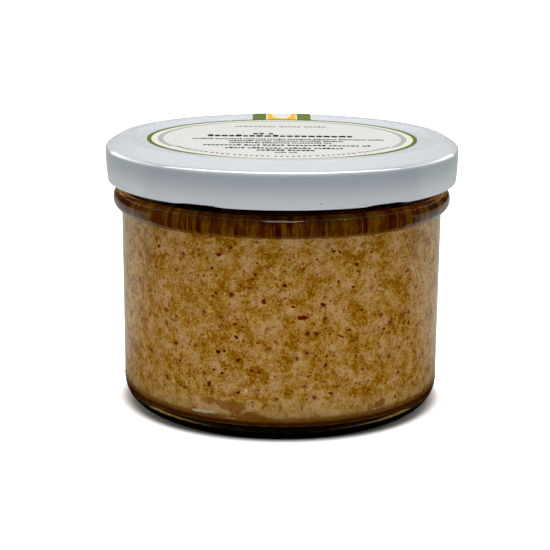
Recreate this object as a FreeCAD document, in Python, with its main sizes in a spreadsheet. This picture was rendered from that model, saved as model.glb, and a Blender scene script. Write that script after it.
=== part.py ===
"""Round glass jar of spread with a white twist-off lid.

The part stands on z = 0 with its axis on Z.  The plain front faces -Y; the
paper strip that runs over the rim of the lid is at the back, on +Y.
Sizes are in millimetres and live in the spreadsheet "Sizes".
"""
import FreeCAD, Part
import Sketcher
import math
import os

Vec = FreeCAD.Vector

# ---------------------------------------------------------------- sizes
# Heights of the finish and of the bead are measured down from the mouth, so
# a taller jar only gets a longer straight wall.  Radii of the neck, the bead,
# the lid and the papers are steps from the straight wall, so a wider jar
# keeps a closure that fits.
SIZES = [
    # glass jar
    ("body_radius", 39.0, "outside of the straight wall"),
    ("jar_height", 65.4, "floor to the sealing lip"),
    ("wall", 2.3, "thickness of the straight wall"),
    ("heel_radius", 6.0, "rounding between wall and foot"),
    ("foot_band", 1.8, "width of the flat ring it stands on"),
    ("foot_inner_width", 1.4, "rounded inner edge of the foot, across"),
    ("foot_inner_rise", 0.9, "rounded inner edge of the foot, up"),
    ("push_up", 1.8, "height of the hollow under the base"),
    ("floor_thickness", 3.8, "glass under the edge of the contents"),
    ("floor_dome", 1.2, "rise of the inner floor at its centre"),
    ("inner_heel", 5.2, "rounding between inner wall and floor"),
    ("bead_out", 2.05, "ring under the lid, beyond the wall"),
    ("bead_drop", 14.1, "mouth down to the top of the crest"),
    ("bead_band", 0.4, "upright band at the crest"),
    ("bead_under", 2.3, "crest band down to the underside"),
    ("bead_over", 2.2, "crest band up to the shoulder"),
    ("cove_width", 0.45, "hollow rounding under the bead, across"),
    ("cove_height", 0.8, "hollow rounding under the bead, down"),
    ("neck_step", 0.4, "neck set in from the wall"),
    ("neck_cove", 0.5, "hollow rounding above the bead, up"),
    ("neck_wall", 2.4, "thickness of the neck"),
    ("lip_outer", 1.0, "outer rounding of the lip"),
    ("lip_inner", 0.8, "inner rounding of the lip"),
    ("bore_taper", 3.5, "height over which the bore widens"),
    # contents
    ("headspace", 4.4, "mouth down to the top of the spread"),
    # lid
    ("skirt_out", 4.05, "outside of the skirt beyond the neck"),
    ("lid_height", 10.5, "rim top to the lower edge"),
    ("sheet", 0.3, "thickness of the lacquered sheet"),
    ("shoulder", 3.2, "rounding between rim and skirt"),
    ("rim_raise", 0.8, "rim above the panel"),
    ("rim_step", 0.4, "mouth out to where the raised rim begins"),
    ("panel_slope", 2.4, "slope between rim and panel, across"),
    ("curl", 0.8, "outer radius of the rolled lower edge"),
    # paper
    ("label_margin", 1.5, "bare panel round the label"),
    ("paper", 0.1, "thickness of label and strip"),
    ("strip_width", 15.7, "strip over the rim"),
    ("strip_gap", 0.05, "between label edge and strip"),
    ("strip_margin", 0.5, "rolled edge up to the end of the strip"),
]

doc = FreeCAD.newDocument("spread_jar")
sheet = doc.addObject("Spreadsheet::Sheet", "Sizes")
for row, (alias, value, note) in enumerate(SIZES, start=1):
    sheet.set("A%d" % row, alias)
    sheet.set("B%d" % row, str(value))
    sheet.setAlias("B%d" % row, alias)
    sheet.set("C%d" % row, note)
doc.recompute()


class Size:
    """A length that keeps its number and the expression it comes from."""

    def __init__(self, number, text):
        self.number = float(number)
        self.text = text

    @staticmethod
    def of(other):
        return other if isinstance(other, Size) else Size(other, repr(float(other)))

    def __add__(self, other):
        other = Size.of(other)
        return Size(self.number + other.number, "(%s + %s)" % (self.text, other.text))

    def __sub__(self, other):
        other = Size.of(other)
        return Size(self.number - other.number, "(%s - %s)" % (self.text, other.text))


S = {alias: Size(value, "Sizes." + alias) for alias, value, note in SIZES}
ZERO = Size(0.0, "0")


# ---------------------------------------------------------------- helpers
def origin_plane(body, role):
    for feature in body.Origin.OriginFeatures:
        if feature.Role == role:
            return feature
    raise RuntimeError("no origin plane " + role)


def arc_between(p, q, axis, centre):
    """Circle through p and q whose centre has the given r or z."""
    (x1, y1), (x2, y2) = p, q
    if axis == "r":
        cx = centre
        cy = ((x2 - cx) ** 2 - (x1 - cx) ** 2 + y2 ** 2 - y1 ** 2) / (2 * (y2 - y1))
    else:
        cy = centre
        cx = ((y2 - cy) ** 2 - (y1 - cy) ** 2 + x2 ** 2 - x1 ** 2) / (2 * (x2 - x1))
    return Vec(cx, cy, 0), math.hypot(x1 - cx, y1 - cy)


def section(body, name, corners):
    """Closed section in the XZ plane: x is the radius, y the height.

    Each corner is (r, z) or (r, z, bend), where bend describes the edge that
    leaves the corner: ("arc", "r" or "z", centre, turn) with turn +1 for a
    counter-clockwise arc and -1 for a clockwise one.  Every corner and every
    arc centre is bound to the sheet.
    """
    sketch = body.newObject("Sketcher::SketchObject", name)
    sketch.AttachmentSupport = [(origin_plane(body, "XZ_Plane"), "")]
    sketch.MapMode = "FlatFace"
    points = [(c[0].number, c[1].number) for c in corners]
    count = len(corners)
    ends = []
    for i, corner in enumerate(corners):
        p, q = points[i], points[(i + 1) % count]
        if len(corner) == 3:
            kind, axis, centre, turn = corner[2]
            mid, radius = arc_between(p, q, axis, centre.number)
            first, last = (p, q) if turn > 0 else (q, p)
            a0 = math.atan2(first[1] - mid.y, first[0] - mid.x)
            a1 = math.atan2(last[1] - mid.y, last[0] - mid.x)
            if a1 < a0:
                a1 += 2 * math.pi
            circle = Part.Circle(mid, Vec(0, 0, 1), radius)
            sketch.addGeometry(Part.ArcOfCircle(circle, a0, a1), False)
            ends.append((1, 2) if turn > 0 else (2, 1))
        else:
            sketch.addGeometry(Part.LineSegment(Vec(p[0], p[1], 0), Vec(q[0], q[1], 0)), False)
            ends.append((1, 2))
    for i in range(count):
        j = (i + 1) % count
        sketch.addConstraint(Sketcher.Constraint("Coincident", i, ends[i][1], j, ends[j][0]))

    def bind(kind, edge, spot, size):
        if abs(size.number) < 1e-9:
            line = -2 if kind == "DistanceX" else -1
            sketch.addConstraint(Sketcher.Constraint("PointOnObject", edge, spot, line))
            return
        index = sketch.addConstraint(Sketcher.Constraint(kind, -1, 1, edge, spot, size.number))
        sketch.setExpression("Constraints[%d]" % index, size.text)

    for i, corner in enumerate(corners):
        bind("DistanceX", i, ends[i][0], corner[0])
        bind("DistanceY", i, ends[i][0], corner[1])
        if len(corner) == 3:
            axis, centre = corner[2][1], corner[2][2]
            bind("DistanceX" if axis == "r" else "DistanceY", i, 3, centre)
    return sketch


def turned(body, sketch, name, kind="PartDesign::Revolution"):
    feature = body.newObject(kind, name)
    feature.Profile = sketch
    feature.ReferenceAxis = (sketch, ["V_Axis"])
    feature.Angle = 360.0
    body.Tip = feature
    return feature


def new_body(name):
    body = doc.addObject("PartDesign::Body", name)
    body.Label = name
    return body


# ---------------------------------------------------------------- glass jar
wall_top = S["jar_height"] - S["bead_drop"] - S["bead_band"] - S["bead_under"]
crest_low = S["jar_height"] - S["bead_drop"] - S["bead_band"]
crest_top = S["jar_height"] - S["bead_drop"]
bead_top = crest_top + S["bead_over"]
foot_outer = S["body_radius"] - S["heel_radius"]
foot_inner = foot_outer - S["foot_band"]
bead_radius = S["body_radius"] + S["bead_out"]
neck_radius = S["body_radius"] - S["neck_step"]
mouth_radius = neck_radius - S["neck_wall"]

jar = new_body("glass_jar")
outside = section(jar, "jar_outside", [
    (ZERO, S["push_up"], ("arc", "r", ZERO, -1)),
    (foot_inner - S["foot_inner_width"], S["foot_inner_rise"], ("arc", "r", foot_inner, 1)),
    (foot_inner, ZERO),
    (foot_outer, ZERO, ("arc", "r", foot_outer, 1)),
    (S["body_radius"], S["heel_radius"]),
    (S["body_radius"], wall_top - S["cove_height"], ("arc", "z", wall_top - S["cove_height"], -1)),
    (S["body_radius"] + S["cove_width"], wall_top, ("arc", "z", crest_low, 1)),
    (bead_radius, crest_low),
    (bead_radius, crest_top, ("arc", "z", crest_top, 1)),
    (S["body_radius"], bead_top, ("arc", "z", bead_top + S["neck_cove"], -1)),
    (neck_radius, bead_top + S["neck_cove"]),
    (neck_radius, S["jar_height"] - S["lip_outer"], ("arc", "r", neck_radius - S["lip_outer"], 1)),
    (neck_radius - S["lip_outer"], S["jar_height"]),
    (ZERO, S["jar_height"]),
])
turned(jar, outside, "jar_blank")

# The cavity: the contents below use the same corners, so the two surfaces
# always lie face to face.
bore = S["body_radius"] - S["wall"]
floor_edge = bore - S["inner_heel"]
floor_low = S["floor_thickness"]


def cavity_wall():
    return [
        (ZERO, floor_low + S["floor_dome"], ("arc", "r", ZERO, -1)),
        (floor_edge, floor_low, ("arc", "r", floor_edge, 1)),
        (bore, floor_low + S["inner_heel"]),
        (bore, crest_top - S["bore_taper"]),
        (mouth_radius, crest_top),
    ]


cavity = section(jar, "jar_cavity", cavity_wall() + [
    (mouth_radius, S["jar_height"] - S["lip_inner"], ("arc", "r", mouth_radius + S["lip_inner"], -1)),
    (mouth_radius + S["lip_inner"], S["jar_height"]),
    (ZERO, S["jar_height"]),
])
turned(jar, cavity, "jar_hollow", "PartDesign::Groove")

# ---------------------------------------------------------------- spread
level = S["jar_height"] - S["headspace"]
spread = new_body("spread")
filling = section(spread, "spread_section", cavity_wall() + [
    (mouth_radius, level),
    (ZERO, level),
])
turned(spread, filling, "spread_fill")

# ---------------------------------------------------------------- lid
# The underside of the raised rim sits on the lip of the jar.
rim_top = S["jar_height"] + S["sheet"]
panel_top = rim_top - S["rim_raise"]
lid_radius = neck_radius + S["skirt_out"]
rim_inner = mouth_radius + S["rim_step"]
panel_radius = rim_inner - S["panel_slope"]
rim_outer = lid_radius - S["shoulder"]
shoulder_low = rim_top - S["shoulder"]
curl_z = rim_top - S["lid_height"] + S["curl"]
curl_r = lid_radius - S["curl"]

lid = new_body("lid")
shell = section(lid, "lid_section", [
    (ZERO, panel_top - S["sheet"]),
    (panel_radius, panel_top - S["sheet"]),
    (rim_inner, S["jar_height"]),
    (rim_outer, S["jar_height"], ("arc", "r", rim_outer, -1)),
    (lid_radius - S["sheet"], shoulder_low),
    (lid_radius - S["sheet"], curl_z, ("arc", "r", curl_r, -1)),
    (curl_r, curl_z - S["curl"] + S["sheet"], ("arc", "r", curl_r, -1)),
    (curl_r - S["curl"] + S["sheet"], curl_z),
    (curl_r - S["curl"], curl_z, ("arc", "r", curl_r, 1)),
    (curl_r, curl_z - S["curl"], ("arc", "r", curl_r, 1)),
    (lid_radius, curl_z),
    (lid_radius, shoulder_low, ("arc", "r", rim_outer, 1)),
    (rim_outer, rim_top),
    (rim_inner, rim_top),
    (panel_radius, panel_top),
    (ZERO, panel_top),
])
turned(lid, shell, "lid_shell")

# ---------------------------------------------------------------- label
label_radius = panel_radius - S["label_margin"]
label = new_body("lid_label")
disc = section(label, "label_section", [
    (ZERO, panel_top),
    (label_radius, panel_top),
    (label_radius, panel_top + S["paper"]),
    (ZERO, panel_top + S["paper"]),
])
turned(label, disc, "label_disc")

# ---------------------------------------------------------------- strip
# A thin skin that follows the lid from the edge of the label over the rim
# and down the skirt, cut to a strip with parallel sides on +Y.
strip_start = label_radius + S["strip_gap"]
strip_end = curl_z + S["strip_margin"]
skin = new_body("strip_skin")
skin_section = section(skin, "strip_section", [
    (strip_start, panel_top),
    (panel_radius, panel_top),
    (rim_inner, rim_top),
    (rim_outer, rim_top, ("arc", "r", rim_outer, -1)),
    (lid_radius, shoulder_low),
    (lid_radius, strip_end),
    (lid_radius + S["paper"], strip_end),
    (lid_radius + S["paper"], shoulder_low, ("arc", "r", rim_outer, 1)),
    (rim_outer, rim_top + S["paper"]),
    (rim_inner, rim_top + S["paper"]),
    (panel_radius, panel_top + S["paper"]),
    (strip_start, panel_top + S["paper"]),
])
turned(skin, skin_section, "strip_ring")

block_width = lid_radius + S["paper"] + S["wall"]
block_height = rim_top + S["paper"] + S["wall"]
block = doc.addObject("Part::Box", "strip_block")
block.setExpression("Length", "Sizes.strip_width")
block.setExpression("Width", block_width.text)
block.setExpression("Height", block_height.text)
block.setExpression("Placement.Base.x", "-Sizes.strip_width / 2")

strip = doc.addObject("Part::Common", "lid_strip")
strip.Base = skin
strip.Tool = block
strip.Label = "lid_strip"

# ---------------------------------------------------------------- check and write
doc.recompute()
for item in doc.Objects:
    if "Invalid" in item.State or "Error" in item.State:
        raise RuntimeError("%s did not recompute: %s" % (item.Label, item.State))

NODES = [jar, spread, lid, label, strip]
for item in NODES:
    shape = item.Shape
    if shape.isNull() or not shape.isValid() or len(shape.Solids) != 1:
        raise RuntimeError("%s is not one valid solid" % item.Label)

os.makedirs("parts", exist_ok=True)
for item in NODES:
    shape = item.Shape
    box = shape.BoundBox
    shape.exportStep("parts/%s.step" % item.Label)
    print("%-10s %9.2f mm3  x %.2f..%.2f  y %.2f..%.2f  z %.2f..%.2f" % (
        item.Label, shape.Volume, box.XMin, box.XMax, box.YMin, box.YMax, box.ZMin, box.ZMax))
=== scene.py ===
import math
import random

import bmesh
import bpy
from mathutils import Matrix, Vector


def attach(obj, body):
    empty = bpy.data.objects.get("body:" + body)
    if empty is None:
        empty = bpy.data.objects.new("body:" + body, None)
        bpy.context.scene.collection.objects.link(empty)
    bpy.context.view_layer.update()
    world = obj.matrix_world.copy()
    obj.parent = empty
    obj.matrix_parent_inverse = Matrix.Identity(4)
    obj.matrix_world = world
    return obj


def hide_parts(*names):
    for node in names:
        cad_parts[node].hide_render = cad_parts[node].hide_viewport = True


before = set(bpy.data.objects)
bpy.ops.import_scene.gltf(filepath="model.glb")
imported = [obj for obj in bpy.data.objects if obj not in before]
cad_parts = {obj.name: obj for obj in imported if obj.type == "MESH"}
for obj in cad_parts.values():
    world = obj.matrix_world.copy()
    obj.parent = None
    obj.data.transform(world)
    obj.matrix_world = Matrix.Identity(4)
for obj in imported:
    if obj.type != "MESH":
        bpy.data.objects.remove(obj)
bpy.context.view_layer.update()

# ---------------------------------------------------------------- glass jar
# Pressed clear glass: a straight wall on a rounded heel, a thick base that stands on a narrow ring, a
# round bead under the lid and a neck for the twist-off finish.  It is turned from its half section,
# and the mould leaves a ring of small marks where wall and heel meet.
MM = 0.001
TURN_STEPS = 288
WALL_R, WALL_TOP, HEEL_TOP = 39.0, 47.8, 6.0
FOOT_OUTER, FOOT_INNER, FOOT_ROUND_R, FOOT_ROUND_Z, PUSH_UP = 33.0, 31.2, 29.8, 0.9, 1.8
COVE_R, COVE_TOP = 39.45, 48.6
BEAD_R, CREST_LOW, CREST_TOP, BEAD_TOP = 41.05, 50.9, 51.3, 53.5
NECK_R, NECK_COVE, LIP_Z, LIP_OUTER, LIP_INNER = 38.6, 0.5, 65.4, 1.0, 0.8
BORE_R, BORE_TOP, MOUTH_R = 36.7, 47.8, 36.2
FLOOR_Z, FLOOR_DOME, INNER_HEEL = 3.8, 1.2, 5.2
FLOOR_R = BORE_R - INNER_HEEL
MARK_BAND, WALL_RINGS, BORE_RING = 0.7, (20, 34), 28


def bend(start, end, centre_r=None, centre_z=None, steps=8):
    """Points of the arc from start to end, the short way round, whose centre has the given r or z."""
    (r1, z1), (r2, z2) = start, end
    if centre_r is not None:
        centre_z = ((r2 - centre_r) ** 2 - (r1 - centre_r) ** 2 + z2 ** 2 - z1 ** 2) / (2 * (z2 - z1))
    else:
        centre_r = ((z2 - centre_z) ** 2 - (z1 - centre_z) ** 2 + r2 ** 2 - r1 ** 2) / (2 * (r2 - r1))
    radius = math.hypot(r1 - centre_r, z1 - centre_z)
    first = math.atan2(z1 - centre_z, r1 - centre_r)
    turn = (math.atan2(z2 - centre_z, r2 - centre_r) - first + math.pi) % math.tau - math.pi
    angles = [first + turn * k / steps for k in range(steps + 1)]
    return [(centre_r + radius * math.cos(a), centre_z + radius * math.sin(a)) for a in angles]


def start_piece(name):
    """Name the primitive that was just added, with nothing else selected."""
    piece = bpy.context.object
    piece.name = piece.data.name = name
    return piece


def turn_piece(name, section):
    """Draw a half section in mm as a chain of edges and spin it round the Z axis."""
    bpy.ops.object.select_all(action="DESELECT")
    bpy.ops.mesh.primitive_plane_add(size=MM)
    piece = start_piece(name)
    bpy.ops.object.mode_set(mode="EDIT")
    bpy.ops.mesh.select_mode(type="VERT")
    bpy.ops.mesh.select_all(action="SELECT")
    bpy.ops.mesh.merge(type="CENTER")
    here = Vector()
    for count, (r, z) in enumerate(section):
        there = Vector((r, 0, z)) * MM
        if count == 0:
            bpy.ops.transform.translate(value=there - here)
        else:
            bpy.ops.mesh.extrude_region_move(TRANSFORM_OT_translate={"value": there - here})
        here = there
    bpy.ops.mesh.select_all(action="SELECT")
    bpy.ops.mesh.remove_doubles(threshold=0.001 * MM)
    bpy.ops.mesh.spin(steps=TURN_STEPS, angle=math.tau, center=(0, 0, 0), axis=(0, 0, 1))
    bpy.ops.mesh.select_all(action="SELECT")
    bpy.ops.mesh.remove_doubles(threshold=0.001 * MM)
    bpy.ops.mesh.normals_make_consistent(inside=False)
    bpy.ops.mesh.select_all(action="DESELECT")
    return piece


def pick_faces(piece, wanted):
    """In edit mode, select the faces whose centre, as radius, azimuth and height, is wanted."""
    bpy.ops.mesh.select_mode(type="FACE")
    mesh = bmesh.from_edit_mesh(piece.data)
    for face in mesh.faces:
        spot = face.calc_center_median() / MM
        azimuth = math.degrees(math.atan2(spot.x, -spot.y))
        face.select_set(wanted(math.hypot(spot.x, spot.y), azimuth, spot.z))
    mesh.select_flush_mode()
    bmesh.update_edit_mesh(piece.data)


def smooth_piece(piece, angle=35):
    """Leave edit mode with the piece shaded smooth, apart from its real edges."""
    bpy.ops.object.mode_set(mode="OBJECT")
    bpy.ops.object.shade_smooth_by_angle(angle=math.radians(angle))
    piece.select_set(False)


jar_section = [(0, PUSH_UP)]
jar_section += bend((0, PUSH_UP), (FOOT_ROUND_R, FOOT_ROUND_Z), centre_r=0, steps=6)[1:]
jar_section += bend((FOOT_ROUND_R, FOOT_ROUND_Z), (FOOT_INNER, 0), centre_r=FOOT_INNER, steps=5)[1:]
jar_section += bend((FOOT_OUTER, 0), (WALL_R, HEEL_TOP), centre_r=FOOT_OUTER, steps=16)
jar_section += [(WALL_R, HEEL_TOP + MARK_BAND)] + [(WALL_R, z) for z in WALL_RINGS]
jar_section += bend((WALL_R, WALL_TOP), (COVE_R, COVE_TOP), centre_z=WALL_TOP, steps=5)
jar_section += bend((COVE_R, COVE_TOP), (BEAD_R, CREST_LOW), centre_z=CREST_LOW, steps=12)[1:]
jar_section += bend((BEAD_R, CREST_TOP), (WALL_R, BEAD_TOP), centre_z=CREST_TOP, steps=12)
neck_z = BEAD_TOP + NECK_COVE
jar_section += bend((WALL_R, BEAD_TOP), (NECK_R, neck_z), centre_z=neck_z, steps=5)[1:]
jar_section += bend((NECK_R, LIP_Z - LIP_OUTER), (NECK_R - LIP_OUTER, LIP_Z), centre_r=NECK_R - LIP_OUTER)
jar_section += bend((MOUTH_R + LIP_INNER, LIP_Z), (MOUTH_R, LIP_Z - LIP_INNER), centre_r=MOUTH_R + LIP_INNER)
jar_section += [(MOUTH_R, CREST_TOP), (BORE_R, BORE_TOP), (BORE_R, BORE_RING)]
jar_section += bend((BORE_R, FLOOR_Z + INNER_HEEL), (FLOOR_R, FLOOR_Z), centre_r=FLOOR_R, steps=14)
jar_section += bend((FLOOR_R, FLOOR_Z), (0, FLOOR_Z + FLOOR_DOME), centre_r=0, steps=6)[1:]
glass = turn_piece("jar_glass", jar_section)

# The mould marks: single faces of the ring above the heel, inset and raised.
MARK_EVERY, MARK_SLIP, MARK_INSET, MARK_RISE = 5.0, 3, 0.18, 0.1
STEP_ANGLE = 360 / TURN_STEPS


def is_mark(r, azimuth, z):
    """One face in every few degrees, each third one a step out of place."""
    place = int(azimuth % 360 // STEP_ANGLE)
    every = int(MARK_EVERY / STEP_ANGLE)
    slip = 1 if (place // every) % MARK_SLIP == 0 else 0
    on_band = r > BORE_R and HEEL_TOP < z < HEEL_TOP + MARK_BAND
    return on_band and place % every == slip


pick_faces(glass, is_mark)
bpy.ops.mesh.inset(thickness=MARK_INSET * MM, use_individual=True)
bpy.ops.transform.shrink_fatten(value=MARK_RISE * MM)
smooth_piece(glass, angle=50)


def paint(r, g, b):
    """A colour given as it looks on screen, 0 to 255, as the linear colour that a shader takes."""
    def linear(c):
        c /= 255
        return c / 12.92 if c <= 0.04045 else ((c + 0.055) / 1.055) ** 2.4
    return (linear(r), linear(g), linear(b), 1.0)


def new_material(name, colour, roughness):
    """A material with a Principled shader; returns the material, its nodes and the shader."""
    material = bpy.data.materials.new(name)
    material.use_nodes = True
    shader = material.node_tree.nodes["Principled BSDF"]
    shader.inputs["Base Color"].default_value = colour
    shader.inputs["Roughness"].default_value = roughness
    return material, material.node_tree, shader


def add(tree, kind, links=(), **settings):
    """Add a node, set what is given (sockets by name or number, the rest as properties) and wire it."""
    node = tree.nodes.new(kind)
    for key, value in settings.items():
        setattr(node, key, value)
    for socket, source in links:
        if isinstance(source, bpy.types.NodeSocket):
            tree.links.new(source, node.inputs[socket])
        else:
            node.inputs[socket].default_value = source
    return node


def place_of(tree):
    """Where a point of the piece is, in metres: Object coordinates."""
    return add(tree, "ShaderNodeTexCoord").outputs["Object"]


def noise(tree, place, scale, detail=2.0, roughness=0.5, warp=0.0):
    """Fractal noise, with its scale in features per metre."""
    links = [("Vector", place), ("Scale", scale), ("Detail", detail), ("Roughness", roughness),
             ("Distortion", warp)]
    return add(tree, "ShaderNodeTexNoise", links).outputs["Fac"]


def slope(tree, value, low, high, out_low=0.0, out_high=1.0):
    """A soft step from out_low to out_high as value goes from low to high."""
    links = [("Value", value), ("From Min", low), ("From Max", high),
             ("To Min", out_low), ("To Max", out_high)]
    return add(tree, "ShaderNodeMapRange", links, interpolation_type="SMOOTHSTEP").outputs["Result"]


def mix(tree, amount, below, above, how="MIX"):
    """One colour over another."""
    node = add(tree, "ShaderNodeMix", data_type="RGBA", blend_type=how)
    for number, source in ((0, amount), (6, below), (7, above)):
        if isinstance(source, bpy.types.NodeSocket):
            tree.links.new(source, node.inputs[number])
        else:
            node.inputs[number].default_value = source
    return node.outputs[2]


def calc(tree, how, *numbers):
    """One number worked out from two or three others."""
    return add(tree, "ShaderNodeMath", list(enumerate(numbers)), operation=how).outputs[0]


def calc_vector(tree, how, *vectors):
    """One vector worked out from two others."""
    return add(tree, "ShaderNodeVectorMath", list(enumerate(vectors)), operation=how).outputs[0]


def times(tree, one, other):
    """Two masks multiplied."""
    return calc(tree, "MULTIPLY", one, other)


def bump(tree, shader, height, strength, depth):
    """Feed a height to the shader as a bump of the given depth in metres."""
    links = [("Height", height), ("Strength", strength), ("Distance", depth)]
    node = add(tree, "ShaderNodeBump", links)
    tree.links.new(node.outputs["Normal"], shader.inputs["Normal"])


def height_of(tree, place):
    """How high a point is above the table."""
    return add(tree, "ShaderNodeSeparateXYZ", [("Vector", place)]).outputs["Z"]


def length_of(tree, vector):
    """How long a vector is."""
    return add(tree, "ShaderNodeVectorMath", [(0, vector)], operation="LENGTH").outputs["Value"]


def radius_of(tree, place):
    """How far a point is from the jar's axis."""
    return length_of(tree, calc_vector(tree, "MULTIPLY", place, (1, 1, 0)))


GLASS_TINT, GLASS_IOR = (0.965, 0.98, 0.965, 1.0), 1.5
THIN_GLASS, THICK_GLASS, FOOT_SHADE_BLACK = (0.88, 0.9, 0.88, 1), (0.03, 0.03, 0.03, 1), (0.001, 0.001, 0.001, 1)
# in metres: where the base thins to the wall, and the height and radius at which the foot's painted shade
# begins
THINS, FOOT_Z, FOOT_R = (0.0005, 0.0075), (0.0033, 0.0040), (0.0318, 0.0326)
jar_glass, tree, shader = new_material("jar_glass", GLASS_TINT, 0.0)
shader.inputs["IOR"].default_value = GLASS_IOR
shader.inputs["Transmission Weight"].default_value = 1.0
place = place_of(tree)
# faint waves left by the pressing
bump(tree, shader, noise(tree, place, 90, detail=1.0), 0.25, 0.02 * MM)
# Light that falls through the glass to what is inside or below goes straight on, as in thin glass;
# the thick heel and base keep most of it.
through = slope(tree, height_of(tree, place), *THINS)
shadow = add(tree, "ShaderNodeBsdfTransparent", [("Color", mix(tree, through, THICK_GLASS, THIN_GLASS))])
is_shadow = add(tree, "ShaderNodeLightPath").outputs["Is Shadow Ray"]
both = add(tree, "ShaderNodeMixShader",
           [(0, is_shadow), (1, shader.outputs["BSDF"]), (2, shadow.outputs["BSDF"])])
tree.links.new(both.outputs["Shader"], tree.nodes["Material Output"].inputs["Surface"])
# painted shade: the thick foot is coloured black, standing in for the dark under the jar that shows through
# it from outside
above = slope(tree, height_of(tree, place), *FOOT_Z)
within = slope(tree, radius_of(tree, place), *FOOT_R, 1.0, 0.0)
clear = calc(tree, "MAXIMUM", above, within)
tree.links.new(mix(tree, clear, FOOT_SHADE_BLACK, GLASS_TINT), shader.inputs["Base Color"])
glass.data.materials.append(jar_glass)
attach(glass, "root")
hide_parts("glass_jar")

# ---------------------------------------------------------------- spread
# A coarse light-brown spread of fat, onion and roasted bits, filled hot: it touches the glass all
# round.  It reaches a little into the wall, so no air shows.
INTO_WALL, LEVEL_Z, LEVEL_ROUND, ROW, TOP_ROW = 0.15, 61.0, 0.4, 0.45, 1.5


def rows(start, end, step):
    """Points on a straight side, about a step apart, ends included."""
    count = max(1, round(math.dist(start, end) / step))
    return [tuple(a + (b - a) * k / count for a, b in zip(start, end)) for k in range(count + 1)]


fill_r, fill_mouth = BORE_R + INTO_WALL, MOUTH_R + INTO_WALL
fill_floor = FLOOR_Z - INTO_WALL
edge_r, edge_z = fill_mouth - LEVEL_ROUND, LEVEL_Z - LEVEL_ROUND
fill_section = [(0, fill_floor + FLOOR_DOME)]
fill_section += bend((0, fill_floor + FLOOR_DOME), (FLOOR_R, fill_floor), centre_r=0, steps=16)[1:]
fill_section += bend((FLOOR_R, fill_floor), (fill_r, FLOOR_Z + INNER_HEEL), centre_r=FLOOR_R, steps=18)[1:]
fill_section += rows((fill_r, FLOOR_Z + INNER_HEEL), (fill_r, BORE_TOP), ROW)[1:]
fill_section += rows((fill_r, BORE_TOP), (fill_mouth, CREST_TOP), ROW)[1:]
fill_section += rows((fill_mouth, CREST_TOP), (fill_mouth, edge_z), ROW)[1:]
fill_section += bend((fill_mouth, edge_z), (edge_r, LEVEL_Z), centre_r=edge_r, steps=3)[1:]
fill_section += rows((edge_r, LEVEL_Z), (0, LEVEL_Z), TOP_ROW)[1:]
spread = turn_piece("spread_fill", fill_section)


def at(azimuth, z, r=BORE_R):
    """A point in metres on the inside of the wall: azimuth from the front, towards +X."""
    turned = math.radians(azimuth)
    return Vector((r * math.sin(turned), -r * math.cos(turned), z)) * MM


# The top, under the lid, is left in soft hollows by the filling.
HOLLOWS, HOLLOWS_R, HOLLOW_R, HOLLOW_SOFT = 26, 33, 2.2, 4
SHALLOWEST, DEEPEST = 0.2, 0.9
dice = random.Random(7)
for _ in range(HOLLOWS):
    reach, azimuth = HOLLOWS_R * math.sqrt(dice.random()), dice.uniform(-180, 180)
    spot = at(azimuth, LEVEL_Z, reach)
    bpy.ops.mesh.select_mode(type="VERT")
    mesh = bmesh.from_edit_mesh(spread.data)
    for vertex in mesh.verts:
        vertex.select_set((vertex.co - spot).length < HOLLOW_R * MM)
    bmesh.update_edit_mesh(spread.data)
    bpy.ops.transform.translate(value=(0, 0, -dice.uniform(SHALLOWEST, DEEPEST) * MM),
                                use_proportional_edit=True, proportional_edit_falloff="SMOOTH",
                                proportional_size=HOLLOW_SOFT * MM)
smooth_piece(spread)

DEEP_GOLD, GOLDEN, OLIVE_TAN = paint(150, 88, 0), paint(178, 122, 8), paint(194, 145, 59)
TAN, PALE_TAN, FAT = paint(207, 163, 93), paint(224, 183, 123), paint(232, 192, 126)
RED_BROWN, CRUMB_BROWN, SMEAR_BROWN = paint(104, 14, 0), paint(112, 38, 0), paint(150, 92, 14)
HEEL_SHADE_BROWN, LOW_HEEL_SHADE_BROWN = paint(166, 110, 16), paint(150, 70, 0)
NECK_BROWN, NECK_OLIVE, STREAK_RED = paint(100, 42, 0), paint(132, 88, 4), paint(64, 6, 0)
NECK_BLACK, NECK_RED = paint(8, 1, 0), paint(50, 10, 0)

spread_paste, tree, shader = new_material("spread_paste", OLIVE_TAN, 0.55)
shader.inputs["Specular IOR Level"].default_value = 0.0
place = place_of(tree)
z = height_of(tree, place)
# a coarse paste, as much mottled in fine crumbs as in large clouds
mottle = noise(tree, place, 215, detail=4.3, roughness=1.0)
grain = noise(tree, place, 2600, detail=1.0)
fine = calc(tree, "MULTIPLY_ADD", grain, 0.3, -0.15)
paste = add(tree, "ShaderNodeValToRGB", [(0, calc(tree, "ADD", mottle, fine))])
for spot, tone in ((0.38, DEEP_GOLD), (0.432, GOLDEN), (0.483, OLIVE_TAN), (0.534, TAN), (0.613, PALE_TAN)):
    stop = paste.color_ramp.elements.new(spot)
    stop.color = tone
paste.color_ramp.elements.remove(paste.color_ramp.elements[0])
paste.color_ramp.elements.remove(paste.color_ramp.elements[-1])
clouds = noise(tree, place, 220, detail=3.0, roughness=0.6)
tint = mix(tree, slope(tree, clouds, 0.42, 0.58), (1.0, 1.0, 0.86, 1), (1.0, 0.97, 1.06, 1))
colour = mix(tree, 1.0, paste.outputs["Color"], tint, how="MULTIPLY")


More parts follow.
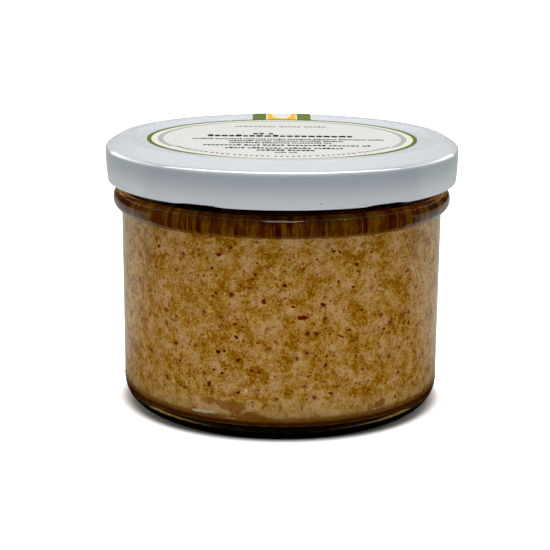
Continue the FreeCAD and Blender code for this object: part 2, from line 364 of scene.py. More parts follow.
def specks(tree, place, scale, size, share, softness):
    """Spots in space: Voronoi cells, of which only some hold a speck, each of its own size."""
    drift = add(tree, "ShaderNodeTexNoise", [("Vector", place), ("Scale", scale * 2.2)]).outputs["Color"]
    bent = calc_vector(tree, "ADD", place, calc_vector(tree, "MULTIPLY", drift, (0.5 / scale,) * 3))
    cell = add(tree, "ShaderNodeTexVoronoi", [("Vector", bent), ("Scale", scale)])
    lot = add(tree, "ShaderNodeSeparateColor", [(0, cell.outputs["Color"])])
    reach = slope(tree, lot.outputs[0], 1 - share, 1.0, 0.0, size)
    edge = calc(tree, "SUBTRACT", reach, cell.outputs["Distance"])
    return slope(tree, edge, -softness, softness * 0.4)


# bits within the paste, in golden halos, and smaller crumbs
halo = specks(tree, place, 480, 0.40, 0.5, 0.2)
colour = mix(tree, times(tree, halo, 0.5), colour, DEEP_GOLD)
red = specks(tree, place, 480, 0.22, 0.40, 0.06)
colour = mix(tree, times(tree, red, 0.9), colour, RED_BROWN)
small = specks(tree, place, 1000, 0.30, 0.42, 0.07)
colour = mix(tree, times(tree, small, 0.85), colour, CRUMB_BROWN)
# painted light: paler towards the bottom, where the table's bounce falls, broken up in lumps the colour of
# fat
lumps = slope(tree, noise(tree, place, 330, detail=2.0), 0.46, 0.56, 0.2, 0.75)
colour = mix(tree, times(tree, slope(tree, z, 0.0115, 0.0065), lumps), colour, FAT)
# brown smears pressed against the glass: azimuth, height, half width and half height in mm, tilt
SMEARS = [(-19.0, 8.6, 5.0, 1.5, 6), (-9.0, 6.6, 3.2, 1.0, 14), (38.0, 7.4, 2.0, 1.0, -20),
          (131.0, 9.0, 4.2, 1.4, 5), (-128.0, 7.8, 3.4, 1.2, -8)]
SMEAR_DEEP, SMEAR_RAGGED = 30, 2.4
for azimuth, tall, wide, high, tilt in SMEARS:
    local = add(tree, "ShaderNodeMapping", [
        ("Vector", place), ("Location", at(azimuth, tall)),
        ("Rotation", (0, math.radians(tilt), math.radians(azimuth))),
        ("Scale", (wide * MM, SMEAR_DEEP * MM, high * MM))], vector_type="TEXTURE")
    ragged = calc(tree, "MULTIPLY_ADD", clouds, SMEAR_RAGGED, length_of(tree, local.outputs[0]))
    colour = mix(tree, slope(tree, ragged, 2.3, 2.05, 0.0, 0.8), colour, SMEAR_BROWN)
# painted shade: browner, then dark, low in the heel, for the dark under the jar seen through the glass
brown = times(tree, slope(tree, z, 0.0066, 0.0055, 0.0, 0.85), slope(tree, z, 0.0038, 0.0043, 0.2, 1.0))
colour = mix(tree, brown, colour, HEEL_SHADE_BROWN)
low_heel_shade = times(tree, slope(tree, z, 0.0053, 0.0046), slope(tree, z, 0.0039, 0.0043))
low_heel_shade = times(tree, low_heel_shade, slope(tree, radius_of(tree, place), 0.022, 0.030))
colour = mix(tree, low_heel_shade, colour, LOW_HEEL_SHADE_BROWN)
# painted shade: dark under the bead and in the neck, where the lid shades it, with upright streaks below and
# layers above
streak_place = add(tree, "ShaderNodeMapping", [("Vector", place), ("Scale", (1, 1, 0.12))]).outputs[0]
layer = add(tree, "ShaderNodeMapping", [("Vector", place), ("Scale", (0.12, 0.12, 1))]).outputs[0]
streaks = times(tree, slope(tree, noise(tree, streak_place, 1300, detail=4.0, roughness=0.7), 0.45, 0.56),
                slope(tree, noise(tree, streak_place, 260), 0.42, 0.56, 0.15, 1.0))
layers = noise(tree, layer, 900, detail=3.0, roughness=0.6)
soft = noise(tree, place, 300, detail=4.0, roughness=0.8)
dark = mix(tree, slope(tree, soft, 0.42, 0.58), NECK_BROWN, NECK_OLIVE)
dark = mix(tree, streaks, dark, STREAK_RED)
deep = mix(tree, slope(tree, layers, 0.50, 0.66), NECK_BLACK, NECK_RED)
dark = mix(tree, slope(tree, z, 0.0505, 0.0515), dark, deep)
colour = mix(tree, slope(tree, z, 0.0483, 0.0491), colour, dark)
tree.links.new(colour, shader.inputs["Base Color"])
bump(tree, shader, mottle, 0.5, 0.3 * MM)
spread.data.materials.append(spread_paste)
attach(spread, "root")
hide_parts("spread")

# ---------------------------------------------------------------- roasted bits and pepper
# Bits of roasted crackling and onion, and cracked peppercorns, lie against the glass here and there.
# Each kind is one uneven lump, copied, pressed flat on the wall and sunk into the spread.


def lump(name, size, flat, rough, seed):
    """An uneven flat lump at the origin, thin along X."""
    bpy.ops.object.select_all(action="DESELECT")
    bpy.ops.mesh.primitive_ico_sphere_add(subdivisions=2, radius=size * MM)
    piece = start_piece(name)
    bpy.ops.object.mode_set(mode="EDIT")
    bpy.ops.mesh.select_all(action="SELECT")
    bpy.ops.transform.vertex_random(offset=rough * size * MM, seed=seed)
    bpy.ops.mesh.vertices_smooth(factor=0.4, repeat=1)
    bpy.ops.transform.resize(value=(flat, 1, 1))
    bpy.ops.object.mode_set(mode="OBJECT")
    return piece


def put_copy(kind, place):
    """Copy a small piece, mesh and all, and put its mesh in place."""
    copy = kind.copy()
    copy.data = kind.data.copy()
    bpy.context.scene.collection.objects.link(copy)
    copy.data.transform(place)
    return copy


def join_copies(name, copies):
    """Join the copies into one piece."""
    bpy.ops.object.select_all(action="DESELECT")
    for copy in copies:
        copy.select_set(True)
    bpy.context.view_layer.objects.active = copies[0]
    bpy.ops.object.join()
    return start_piece(name)


def press_in(name, kinds, spots):
    """Copy the lumps to their spots on the wall and in the heel, and join them into one piece."""
    copies = []
    for azimuth, z, kind, long, tall, tilt in spots:
        low = max(0, FLOOR_Z + INNER_HEEL - z)
        spot = at(azimuth, z, FLOOR_R + math.sqrt(INNER_HEEL ** 2 - low ** 2))
        facing = Matrix.Rotation(math.radians(azimuth - 90), 4, "Z")
        lean = Matrix.Rotation(math.asin(low / INNER_HEEL), 4, "Y")
        lay = facing @ lean @ Matrix.Rotation(math.radians(tilt), 4, "X")
        size = Matrix.Diagonal((1, long, tall, 1))
        copies.append(put_copy(kinds[kind], Matrix.Translation(spot) @ lay @ size))
    piece = join_copies(name, copies)
    for kind in kinds:
        bpy.data.objects.remove(kind)
    smooth_piece(piece, angle=60)
    return piece


BITS, BIT_KINDS, BIT_LOWEST, BIT_HIGHEST = 340, 3, 7, 47
BIT_SIZES = (0.24, 0.28, 0.32, 0.38, 0.46, 0.6, 0.8)
dice = random.Random(21)
# azimuth, height, kind, length, height of the bit, tilt; the first three are the large ones in front
bit_spots = [(7.2, 30.0, 0, 2.1, 0.9, 2), (4.0, 32.6, 1, 1.0, 0.5, 0), (-6.0, 33.8, 2, 0.9, 1.0, 30)]
for _ in range(BITS):
    size = dice.choice(BIT_SIZES)
    bit_spots.append((dice.uniform(-180, 180), dice.uniform(BIT_LOWEST, BIT_HIGHEST),
                      dice.randrange(BIT_KINDS), size * dice.uniform(0.8, 1.5),
                      size * dice.uniform(0.6, 1.0), dice.uniform(-50, 50)))
kinds = [lump("bit_%d" % k, 0.75, 0.38, 0.35, 3 + k) for k in range(BIT_KINDS)]
bits = press_in("roasted_bits", kinds, bit_spots)
roasted, tree, shader = new_material("roasted_bits", RED_BROWN, 0.5)
shader.inputs["Specular IOR Level"].default_value = 0.0
place = place_of(tree)
crust = slope(tree, noise(tree, place, 1500, detail=3.0), 0.38, 0.62)
crust = mix(tree, crust, paint(92, 8, 0), paint(134, 46, 0))
tree.links.new(crust, shader.inputs["Base Color"])
bump(tree, shader, noise(tree, place, 3000, detail=2.0), 0.5, 0.08 * MM)
bits.data.materials.append(roasted)
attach(bits, "root")

GRAINS, GRAIN_KINDS, GRAIN_LOWEST, GRAIN_HIGHEST = 70, 2, 8, 47
pepper_spots = []
for _ in range(GRAINS):
    size = dice.uniform(0.6, 1.2)
    pepper_spots.append((dice.uniform(-180, 180), dice.uniform(GRAIN_LOWEST, GRAIN_HIGHEST),
                         dice.randrange(GRAIN_KINDS), size,
                         size * dice.uniform(0.7, 1.0), dice.uniform(-90, 90)))
kinds = [lump("grain_%d" % k, 0.19, 0.6, 0.4, 11 + k) for k in range(GRAIN_KINDS)]
pepper = press_in("pepper_bits", kinds, pepper_spots)
black_pepper, tree, shader = new_material("black_pepper", paint(26, 14, 8), 0.6)
shader.inputs["Specular IOR Level"].default_value = 0.0
place = place_of(tree)
husk = mix(tree, slope(tree, noise(tree, place, 4000), 0.4, 0.6), paint(14, 8, 5), paint(46, 28, 16))
tree.links.new(husk, shader.inputs["Base Color"])
pepper.data.materials.append(black_pepper)
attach(pepper, "root")

# ---------------------------------------------------------------- flecks of fat and painted glints
# A few pale smears and dots on the inside of the glass, low in the heel and up the sides: partly flecks of
# fat, partly painted glints, set where the glass shows white glints and streaks.
# azimuth, height, kind, length, height of the fleck, tilt
flecks = [(-62.6, 40.1, 0, 0.6, 0.6, 0), (-54.8, 39.0, 1, 0.7, 0.5, 0), (57.3, 36.0, 0, 0.6, 0.5, 0),
          (62.3, 22.0, 1, 0.6, 0.6, 0), (-12.0, 12.7, 0, 0.9, 1.6, 8), (36.0, 6.4, 1, 0.9, 1.3, 35),
          (-28.5, 6.2, 0, 5.6, 1.3, 3), (-18.5, 5.5, 1, 4.4, 0.7, 0), (118.0, 6.4, 0, 4.0, 0.6, 2),
          (-140.0, 30.0, 1, 0.7, 0.6, 0), (165.0, 20.0, 0, 0.6, 0.7, 0), (88.0, 41.0, 1, 0.6, 0.5, 0)]
kinds = [lump("fleck_%d" % k, 0.6, 0.3, 0.25, 31 + k) for k in range(2)]
fat = press_in("fat_and_glint_flecks", kinds, flecks)
pale_fat_and_glints, tree, shader = new_material("pale_fat_and_glints", FAT, 0.5)
shader.inputs["Specular IOR Level"].default_value = 0.0
curd = slope(tree, noise(tree, place_of(tree), 2500, detail=2.0), 0.35, 0.65)
tree.links.new(mix(tree, curd, paint(236, 214, 172), paint(250, 244, 228)), shader.inputs["Base Color"])
fat.data.materials.append(pale_fat_and_glints)
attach(fat, "root")

# ---------------------------------------------------------------- lid
# A twist-off lid of thin tinplate, lacquered gloss white inside and out: a panel let in below a
# raised rim, a short slope to a tight shoulder, a skirt and a rolled lower edge, pressed in a little
# at each lug.
LID_R, RIM_Z, SHEET, SKIRT_DRAW = 42.65, 65.7, 0.3, 0.25
PANEL_R, PANEL_Z, RIM_INNER, RIM_OUTER = 34.2, 64.9, 36.6, 39.4
EDGE_Z, EDGE_ROUND, SKIRT_Z, SKIRT_STEPS = 63.6, 1.2, 62.6, 6
CURL_R, CURL_Z, CURL = 41.6, 56.0, 0.8


def rounded(points, steps=4):
    """Round the corners of a chain: each point is (r, z, radius), the ends stay as they are."""
    chain = [points[0][:2]]
    for before, (r, z, radius), after in zip(points, points[1:], points[2:]):
        here = Vector((r, z))
        back, on = (Vector(before[:2]) - here).normalized(), (Vector(after[:2]) - here).normalized()
        half = back.angle(on) / 2
        centre = here + (back + on).normalized() * radius / math.sin(half)
        first, last = here + back * radius / math.tan(half), here + on * radius / math.tan(half)
        a = math.atan2(first.y - centre.y, first.x - centre.x)
        turn = (math.atan2(last.y - centre.y, last.x - centre.x) - a + math.pi) % math.tau - math.pi
        for k in range(steps + 1):
            angle = a + turn * k / steps
            chain.append((centre.x + radius * math.cos(angle), centre.y + radius * math.sin(angle)))
    return chain + [points[-1][:2]]


top_chain = [(PANEL_R, PANEL_Z, 0.9), (RIM_INNER, RIM_Z, 0.9), (RIM_OUTER, RIM_Z, 1.6),
             (LID_R, EDGE_Z, EDGE_ROUND), (LID_R, SKIRT_Z, 0)]
lid_section = rounded([(0, PANEL_Z, 0)] + top_chain, steps=8)
for step in range(1, SKIRT_STEPS + 1):
    down = step / SKIRT_STEPS
    lid_section.append((LID_R - SKIRT_DRAW * down * down, SKIRT_Z + (CURL_Z - SKIRT_Z) * down))
# round the curl, from its outside to its edge, and back on its inside
curl_under, curl_inner = (CURL_R, CURL_Z - CURL), (CURL_R, CURL_Z - CURL + SHEET)
curl_edge = (CURL_R - CURL + SHEET, CURL_Z)
lid_section += bend((CURL_R + CURL, CURL_Z), curl_under, centre_r=CURL_R, steps=6)[1:]
lid_section += bend(curl_under, (CURL_R - CURL, CURL_Z), centre_r=CURL_R, steps=6)[1:]
lid_section += [curl_edge]
lid_section += bend(curl_edge, curl_inner, centre_r=CURL_R, steps=5)[1:]
lid_section += bend(curl_inner, (CURL_R + CURL - SHEET, CURL_Z), centre_r=CURL_R, steps=5)[1:]
inside = []
for r, z, turn in reversed(top_chain):
    inwards = SHEET if r == LID_R else 0
    inside.append((r - inwards, z - SHEET, max(0, turn - SHEET)))
lid_section += rounded(inside + [(0, PANEL_Z - SHEET, 0)], steps=5)
lid = turn_piece("lid_shell", lid_section)


def pick_lug(piece, spot, wide, high, deep):
    """In edit mode, select the vertices in an oval on the skirt, sizes in mm; returns the way out."""
    bpy.ops.mesh.select_mode(type="VERT")
    mesh = bmesh.from_edit_mesh(piece.data)
    out = Vector((spot.x, spot.y, 0)).normalized()
    side = Vector((-out.y, out.x, 0))
    for vertex in mesh.verts:
        away = (vertex.co - spot) / MM
        in_oval = (away.dot(side) / wide) ** 2 + (away.z / high) ** 2 < 1
        vertex.select_set(in_oval and away.dot(out) > -deep)
    mesh.select_flush_mode()
    bmesh.update_edit_mesh(piece.data)
    return out


# Where a lug is bent in, the rolled edge sits a little higher and the skirt a little further in.
LUGS, FIRST_LUG, LUG_LIFT, LUG_PRESS, LUG_SOFT = 6, -26.0, 0.3, 0.1, 4.0
LUG_WIDE, LUG_HIGH, LUG_DEEP = 3.0, 1.2, 3
for lug in range(LUGS):
    middle = FIRST_LUG + lug * 360 / LUGS
    out = pick_lug(lid, at(middle, CURL_Z, LID_R), LUG_WIDE, LUG_HIGH, LUG_DEEP)
    bpy.ops.transform.translate(value=Vector((0, 0, LUG_LIFT * MM)) - out * LUG_PRESS * MM,
                                use_proportional_edit=True, proportional_edit_falloff="SMOOTH",
                                proportional_size=LUG_SOFT * MM)
smooth_piece(lid)

LACQUER, LACQUER_COOL, LACQUER_SHADE = paint(221, 226, 231), paint(216, 222, 228), paint(158, 168, 176)
DUST = paint(96, 98, 104)
lid_lacquer, tree, shader = new_material("lid_lacquer", LACQUER, 0.12)
shader.inputs["Coat Weight"].default_value = 0.5
shader.inputs["Coat Roughness"].default_value = 0.05
place = place_of(tree)
cloud = noise(tree, place, 60, detail=2.0)
tone = mix(tree, slope(tree, cloud, 0.3, 0.7), LACQUER_COOL, LACQUER)
# painted shade: the skirt turns greyer towards the shoulder
toward_shoulder = slope(tree, height_of(tree, place), 0.0555, 0.0622)
past = slope(tree, height_of(tree, place), 0.0624, 0.0634, 1.0, 0.0)
tone = mix(tree, times(tree, times(tree, toward_shoulder, past), 0.75), tone, LACQUER_SHADE)
# specks of dust
dust = add(tree, "ShaderNodeTexVoronoi", [("Vector", place), ("Scale", 230.0)])
lot = add(tree, "ShaderNodeSeparateColor", [(0, dust.outputs["Color"])]).outputs[0]
mote = times(tree, slope(tree, dust.outputs["Distance"], 0.055, 0.03), slope(tree, lot, 0.9, 0.92))
tone = mix(tree, times(tree, mote, 0.7), tone, DUST)
tree.links.new(tone, shader.inputs["Base Color"])
bump(tree, shader, noise(tree, place, 700, detail=2.0), 0.12, 0.02 * MM)
lid.data.materials.append(lid_lacquer)
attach(lid, "root")
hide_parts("lid")

# ---------------------------------------------------------------- label
# A round paper label glued to the panel: a green rim, a cream ring, a grey line and a pale field with
# lines of small print.  The print sits a little off the middle of the cut.
LABEL_R, PAPER, PRINT_SHIFT = 32.7, 0.1, Vector((0.0, -0.4, 0))
bpy.ops.object.select_all(action="DESELECT")
bpy.ops.mesh.primitive_cylinder_add(vertices=192, radius=LABEL_R * MM, depth=PAPER * MM, end_fill_type="NGON",
                                    location=(0, 0, (PANEL_Z + PAPER / 2) * MM))
label = start_piece("label_paper")
bpy.ops.object.transform_apply(location=True, rotation=True, scale=True)
bpy.ops.object.mode_set(mode="EDIT")
bpy.ops.mesh.select_mode(type="FACE")


def top_face(mesh):
    """The round face on top: the higher of the two that have more than four corners."""
    rounds = [face for face in mesh.faces if len(face.verts) > 4]
    return max(rounds, key=lambda face: face.calc_center_median().z)


# outer radius of each ring of print, from the rim inwards; the grey one is open in front
GREY_GAP = 25.5
RINGS = [("label_green", LABEL_R), ("label_cream", 31.65), ("label_grey", 30.1), ("label_field", 28.8)]
for number in range(1, len(RINGS)):
    bpy.ops.mesh.select_all(action="DESELECT")
    mesh = bmesh.from_edit_mesh(label.data)
    top_face(mesh).select_set(True)
    bmesh.update_edit_mesh(label.data)
    bpy.ops.mesh.inset(thickness=(RINGS[number - 1][1] - RINGS[number][1]) * MM)
    if number == 1:
        bpy.ops.transform.translate(value=PRINT_SHIFT * MM)
bpy.ops.object.mode_set(mode="OBJECT")
for name, _ in RINGS:
    label.data.materials.append(bpy.data.materials.new(name))
for face in label.data.polygons:
    spot = face.center / MM
    away = math.hypot(spot.x - PRINT_SHIFT.x, spot.y - PRINT_SHIFT.y)
    ring = 0
    if spot.z > PANEL_Z + PAPER * 0.9:
        ring = sum(away < r - 0.05 for _, r in RINGS[1:])
        in_front = spot.y < 0 and abs(spot.x) < GREY_GAP
        if len(face.vertices) > 4 or ring == 2 and in_front:
            ring = len(RINGS) - 1
    face.material_index = ring

# Paper fibres, for every printed paper of the lid.
fibre = bpy.data.node_groups.new("paper_fibre", "ShaderNodeTree")
fibre.interface.new_socket("Ink", in_out="INPUT", socket_type="NodeSocketColor")
fibre.interface.new_socket("Colour", in_out="OUTPUT", socket_type="NodeSocketColor")
fibre.interface.new_socket("Height", in_out="OUTPUT", socket_type="NodeSocketFloat")
entry, leave = fibre.nodes.new("NodeGroupInput"), fibre.nodes.new("NodeGroupOutput")
place = place_of(fibre)
threads = noise(fibre, place, 1800, detail=4.0, roughness=0.7, warp=1.5)
between = slope(fibre, threads, 0.35, 0.7, 0.0, 0.12)
fibre.links.new(mix(fibre, between, entry.outputs["Ink"], (0.3, 0.29, 0.26, 1)), leave.inputs["Colour"])
fibre.links.new(threads, leave.inputs["Height"])


def print_on_paper(material, ink, roughness=0.6):
    """Turn a material into printed paper of one ink."""
    material.use_nodes = True
    tree = material.node_tree
    shader = tree.nodes["Principled BSDF"]
    shader.inputs["Roughness"].default_value = roughness
    grain = tree.nodes.new("ShaderNodeGroup")
    grain.node_tree = fibre
    grain.inputs["Ink"].default_value = ink
    tree.links.new(grain.outputs["Colour"], shader.inputs["Base Color"])
    bump(tree, shader, grain.outputs["Height"], 0.2, 0.03 * MM)
    return tree, grain


GREEN, CREAM, FIELD = paint(106, 128, 50), paint(242, 240, 226), paint(234, 234, 229)
GREY_INK = paint(190, 190, 186)
for material, ink in zip(label.data.materials, (GREEN, CREAM, GREY_INK, FIELD)):
    print_on_paper(material, ink)
label.select_set(True)
bpy.ops.object.shade_smooth_by_angle(angle=math.radians(35))
label.select_set(False)
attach(label, "root")
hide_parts("lid_label")

# The lines of print are rows of small plain marks, grouped like words, with no letters in them.
PRINT_TURN, INK_RISE, INK_SUNK, INK_CORNER = math.radians(-0.8), 0.012, 0.02, 0.2
# left end, right end, middle of the row, height of the marks, width of a mark, longest word, ink
LINES = [
    (-12.2, 11.9, 18.8, 2.1, 1.1, 10, "grey"),
    (-7.2, -1.6, 6.3, 3.2, 1.5, 4, "bold"),
    (-18.2, 17.4, 2.4, 3.3, 1.7, 40, "bold"),
    (-21.5, 24.7, -3.0, 1.7, 0.62, 12, "fine"),
    (-12.7, 15.0, -5.9, 1.8, 0.62, 12, "fine"),
    (-12.4, 11.8, -8.9, 1.8, 0.62, 12, "fine"),
    (-18.3, 21.2, -12.7, 2.0, 0.95, 9, "bold"),
    (-13.0, 15.2, -17.0, 2.0, 0.95, 11, "bold"),
    (-5.6, 9.1, -20.2, 2.0, 1.0, 6, "bold"),
    (-1.4, 4.0, -23.4, 1.5, 0.7, 4, "fine"),
]
dice = random.Random(5)


def words(start, end, wide, longest, gap=0.17):
    """Marks along a line: (from, to), in words of up to so many."""
    here, marks = start, []
    while here < end - wide * 0.5:
        for _ in range(dice.randint(longest // 2, longest)):
            long = wide * dice.uniform(0.7, 1.05)
            if here + long > end:
                return marks
            marks.append((here, here + long))
            here += long + wide * gap
        here += wide * 0.6
    return marks


def on_label(x, y):
    """A point of the print, turned with it."""
    c, s = math.cos(PRINT_TURN), math.sin(PRINT_TURN)
    return (c * x - s * y, s * x + c * y)


bpy.ops.object.select_all(action="DESELECT")
bpy.ops.mesh.primitive_cube_add(size=MM)
mark = start_piece("mark")
bpy.ops.object.mode_set(mode="EDIT")
bpy.ops.mesh.select_mode(type="EDGE")
mesh = bmesh.from_edit_mesh(mark.data)
for edge in mesh.edges:
    edge.select_set(abs(edge.verts[0].co.z - edge.verts[1].co.z) > 0.5 * MM)
bmesh.update_edit_mesh(mark.data)
bpy.ops.mesh.bevel(offset=INK_CORNER * MM, segments=1)
bpy.ops.object.mode_set(mode="OBJECT")
mark.select_set(False)

# each mark: x, y, width, height and turn on the paper
inks = {"bold": [], "fine": [], "grey": []}
for left, right, middle, tall, wide, longest, ink in LINES:
    for a, b in words(left, right, wide, longest):
        high = tall * dice.choice((0.7, 0.74, 0.78, 1.0))
        x, y = on_label((a + b) / 2, middle - tall / 2 + high / 2)
        inks[ink].append((x, y, b - a, high, PRINT_TURN))
# a ring of small print round the front
RING_R, RING_TALL, RING_WIDE, RING_HALF, RING_GAP = 28.6, 1.0, 0.75, 60.0, 0.9
for a, b in words(-RING_HALF, RING_HALF, math.degrees(RING_WIDE / RING_R), 9, RING_GAP):
    turned = math.radians((a + b) / 2)
    x, y = RING_R * math.sin(turned) + PRINT_SHIFT.x, -RING_R * math.cos(turned) + PRINT_SHIFT.y
    inks["fine"].append((x, y, math.radians(b - a) * RING_R, RING_TALL, turned))
INK_COLOURS = {"bold": paint(14, 14, 18), "fine": paint(26, 26, 32), "grey": paint(150, 150, 146)}
for ink, places in inks.items():
    copies = []
    for x, y, long, tall, turned in places:
        seat = Matrix.Translation(Vector((x, y, PANEL_Z + PAPER + (INK_RISE - INK_SUNK) / 2)) * MM)
        size = Matrix.Diagonal((long, tall, INK_RISE + INK_SUNK, 1))
        copies.append(put_copy(mark, seat @ Matrix.Rotation(turned, 4, "Z") @ size))
    piece = join_copies("label_print_" + ink, copies)
    piece.select_set(False)
    piece.data.materials.append(bpy.data.materials.new("ink_" + ink))
    print_on_paper(piece.data.materials[0], INK_COLOURS[ink])
    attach(piece, "root")
bpy.data.objects.remove(mark)

# ---------------------------------------------------------------- strip
# A paper strip from the edge of the label over the rim and down the back of the skirt, printed in
# fields: green, cream, yellow with a blank pale round in it, cream and green.
STRIP_HALF, STRIP_START, STRIP_END = 7.7, 32.75, 56.5
path = rounded([(STRIP_START, PANEL_Z, 0)] + top_chain, steps=8)
path += [(LID_R, z) for z in (61.0, 59.5, 58.0, STRIP_END)]
# x of each border between two fields
FIELD_EDGES = [-4.1, -3.75, 3.75, 4.1]
FIELD_INKS = ["green", "cream", "yellow", "cream", "green"]

# The lid's surface, turned again, cut down to a strip and then cut at each border.
strip = turn_piece("strip_paper", path)
CUTS = [((STRIP_HALF, 0, 0), (1, 0, 0)), ((-STRIP_HALF, 0, 0), (-1, 0, 0)), ((0, 0, 0), (0, -1, 0))]
for spot, outwards in CUTS:
    bpy.ops.mesh.select_all(action="SELECT")
    bpy.ops.mesh.bisect(plane_co=Vector(spot) * MM, plane_no=outwards, clear_outer=True)
for edge in FIELD_EDGES:
    bpy.ops.mesh.select_all(action="SELECT")
    bpy.ops.mesh.bisect(plane_co=Vector((edge, 0, 0)) * MM, plane_no=(1, 0, 0))
bpy.ops.mesh.select_all(action="SELECT")
if sum(face.normal.z for face in bmesh.from_edit_mesh(strip.data).faces) < 0:
    bpy.ops.mesh.flip_normals()
bpy.ops.object.mode_set(mode="OBJECT")
thick = strip.modifiers.new("paper", "SOLIDIFY")
thick.thickness = PAPER * MM
thick.offset = 1.0
bpy.ops.object.modifier_apply(modifier="paper")
YELLOW, DISC = paint(250, 192, 10), paint(234, 236, 222)
DISC_R, DISC_Y, DISC_EDGE = 2.75, 37.0, 0.06
STRIP_INKS = {"green": GREEN, "cream": CREAM, "yellow": YELLOW}
for ink, colour in STRIP_INKS.items():
    material = bpy.data.materials.new("strip_" + ink)
    strip.data.materials.append(material)
    tree, grain = print_on_paper(material, colour)
    if ink == "yellow":
        flat = calc_vector(tree, "MULTIPLY", place_of(tree), (1, 1, 0))
        away = length_of(tree, calc_vector(tree, "SUBTRACT", flat, (0, DISC_Y * MM, 0)))
        disc = slope(tree, away, DISC_R * MM, (DISC_R - DISC_EDGE) * MM)
        tree.links.new(mix(tree, disc, YELLOW, DISC), grain.inputs["Ink"])
names = list(STRIP_INKS)
for face in strip.data.polygons:
    x = face.center.x / MM
    field = sum(x > edge for edge in FIELD_EDGES)
    face.material_index = names.index(FIELD_INKS[field])
bpy.ops.object.shade_smooth_by_angle(angle=math.radians(35))
strip.select_set(False)
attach(strip, "root")
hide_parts("lid_strip")

# ---------------------------------------------------------------- studio
# A table of pale paper that runs to the horizon, a wide soft lamp overhead and a small one in front,
# lamps that show only in the lid's gloss, and the camera.  All of it is the studio's: none of it is
# part of the jar.
TABLE, SHADOW_BACK = 6, 1.13
PAPER_WHITE, PAPER_SHADOW_WARM, PAPER_SEEN = (0.9, 0.9, 0.9, 1), (0.96, 0.9, 0.84, 1), (0.84, 0.92, 0.78, 1)
bpy.ops.object.select_all(action="DESELECT")
bpy.ops.mesh.primitive_plane_add(size=TABLE)
table = start_piece("table")
pale_table, tree, shader = new_material("pale_table", PAPER_WHITE, 0.9)
shader.inputs["Specular IOR Level"].default_value = 0.0
place = place_of(tree)


def fade(tree, amount, low, high):
    """A number that goes from low to high with the amount."""
    return add(tree, "ShaderNodeMix", [(0, amount), (2, low), (3, high)]).outputs[0]


def looking(tree):
    """Whether a ray shows glass or gloss what lies around, rather than lights the object."""
    rays = add(tree, "ShaderNodeLightPath")
    indirect = calc(tree, "MAXIMUM", rays.outputs["Is Glossy Ray"], rays.outputs["Is Transmission Ray"])
    first = calc(tree, "LESS_THAN", rays.outputs["Diffuse Depth"], 0.5)
    return rays, times(tree, indirect, first)


rays, look = looking(tree)
ahead = add(tree, "ShaderNodeSeparateXYZ", [("Vector", place)]).outputs["Y"]
# painted shadow: the paper under the foot is coloured near black, as no light reaches it; round it the paper
# glows white to the camera beyond a ring set a little to the back, which sets where the jar's shadow ends
foot = slope(tree, length_of(tree, place), 0.0320, 0.0332, 0.01, 1.0)
away = length_of(tree, calc_vector(tree, "MULTIPLY", place, (1, SHADOW_BACK, 1)))
behind = times(tree, look, slope(tree, ahead, 0.0, 0.06, 0.0, 0.085))
direct = calc(tree, "MAXIMUM", rays.outputs["Is Camera Ray"], behind)
tree.links.new(times(tree, slope(tree, away, 0.0382, 0.0424), direct), shader.inputs["Emission Strength"])
# glass and gloss show the paper behind the jar, and in front of it a dim room
seen = fade(tree, look, 1.0, slope(tree, ahead, -0.005, 0.03, 0.01, 0.47))
# to the camera the paper is tinted warm: a painted warm tint that shows in the jar's shadow
paper = mix(tree, rays.outputs["Is Camera Ray"], PAPER_WHITE, PAPER_SHADOW_WARM)
paper = mix(tree, look, paper, PAPER_SEEN)
tree.links.new(mix(tree, times(tree, seen, foot), (0, 0, 0, 1), paper), shader.inputs["Base Color"])
shader.inputs["Emission Color"].default_value = (1, 1, 1, 1)
table.data.materials.append(pale_table)
table.select_set(False)

world = bpy.data.worlds.new("studio")
bpy.context.scene.world = world
world.use_nodes = True
tree = world.node_tree
rays, look = looking(tree)
# the plain light of the room, white to the camera; glass and gloss show the room dim
ROOM, ROOM_SEEN = 0.35, 0.02
strength = fade(tree, rays.outputs["Is Transmission Ray"], ROOM, 1.0)
strength = fade(tree, look, strength, ROOM_SEEN)
strength = calc(tree, "MAXIMUM", strength, rays.outputs["Is Camera Ray"])
sky = tree.nodes["Background"]
sky.inputs["Color"].default_value = (1, 1, 1, 1)
tree.links.new(strength, sky.inputs["Strength"])


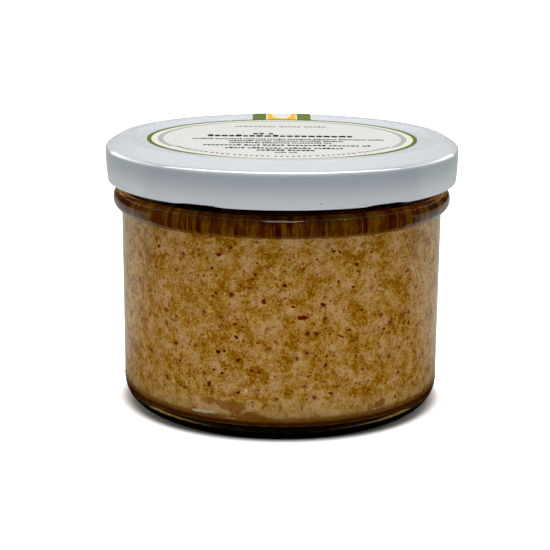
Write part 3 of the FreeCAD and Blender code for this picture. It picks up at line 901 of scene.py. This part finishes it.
def soft_lamp(name, place, target, wide, deep, watts):
    """A rectangular lamp that faces the target."""
    lamp = bpy.data.lights.new(name, "AREA")
    lamp.shape, lamp.size, lamp.size_y, lamp.energy = "RECTANGLE", wide, deep, watts
    stand = bpy.data.objects.new(name, lamp)
    bpy.context.scene.collection.objects.link(stand)
    stand.location = place
    stand.rotation_euler = (Vector(target) - Vector(place)).to_track_quat("-Z", "Y").to_euler()
    return stand


JAR_MIDDLE, LID_TOP = (0, 0, 0.03), (0, 0, 0.06)
overhead = soft_lamp("top_lamp", (0, 0.05, 0.7), JAR_MIDDLE, 0.7, 0.7, 4.0)
overhead.visible_glossy = False
soft_lamp("front_lamp", (0.01, -0.45, 0.65), JAR_MIDDLE, 0.28, 0.12, 0.5)
# what the lid's gloss shows: a window in front, as a line along its shoulder, the bright wall behind and
# a brighter pane to either side of it; name, place, target, width, depth, watts
SHINES = [("window", (0, -0.5, 0.72), (0, 0, 0.72), 6.0, 0.84, 150.0),
          ("wall", (0, 1.5, 1.2), LID_TOP, 8.0, 4.4, 55.0),
          ("pane_left", (-1.15, 0.5, 0.28), LID_TOP, 1.4, 0.5, 6.5),
          ("pane_right", (1.15, 0.5, 0.28), LID_TOP, 1.4, 0.5, 6.5)]
lid_alone = bpy.data.collections.new("lid_alone")
lid_alone.objects.link(lid)
for shine_values in SHINES:
    shine = soft_lamp(*shine_values)
    shine.visible_camera = shine.visible_diffuse = shine.visible_transmission = False
    shine.light_linking.receiver_collection = lid_alone

CAMERA_AWAY, CAMERA_PITCH, CAMERA_ROLL = 0.345, math.radians(14.0), math.radians(0.41)
TARGET, LENS, SENSOR = Vector((-0.001475, 0, 0.0305)), 90.65, 36.0
lens = bpy.data.cameras.new("camera")
camera = bpy.data.objects.new("camera", lens)
bpy.context.scene.collection.objects.link(camera)
lens.sensor_width, lens.lens, lens.clip_start = SENSOR, LENS, 0.01
ahead = Vector((0, math.cos(CAMERA_PITCH), -math.sin(CAMERA_PITCH)))
camera.rotation_mode = "QUATERNION"
camera.location = TARGET - ahead * CAMERA_AWAY
level = ahead.to_track_quat("-Z", "Y")
camera.rotation_quaternion = level @ Matrix.Rotation(CAMERA_ROLL, 3, "Z").to_quaternion()
bpy.context.scene.camera = camera
bpy.context.scene.view_settings.view_transform = "Standard"
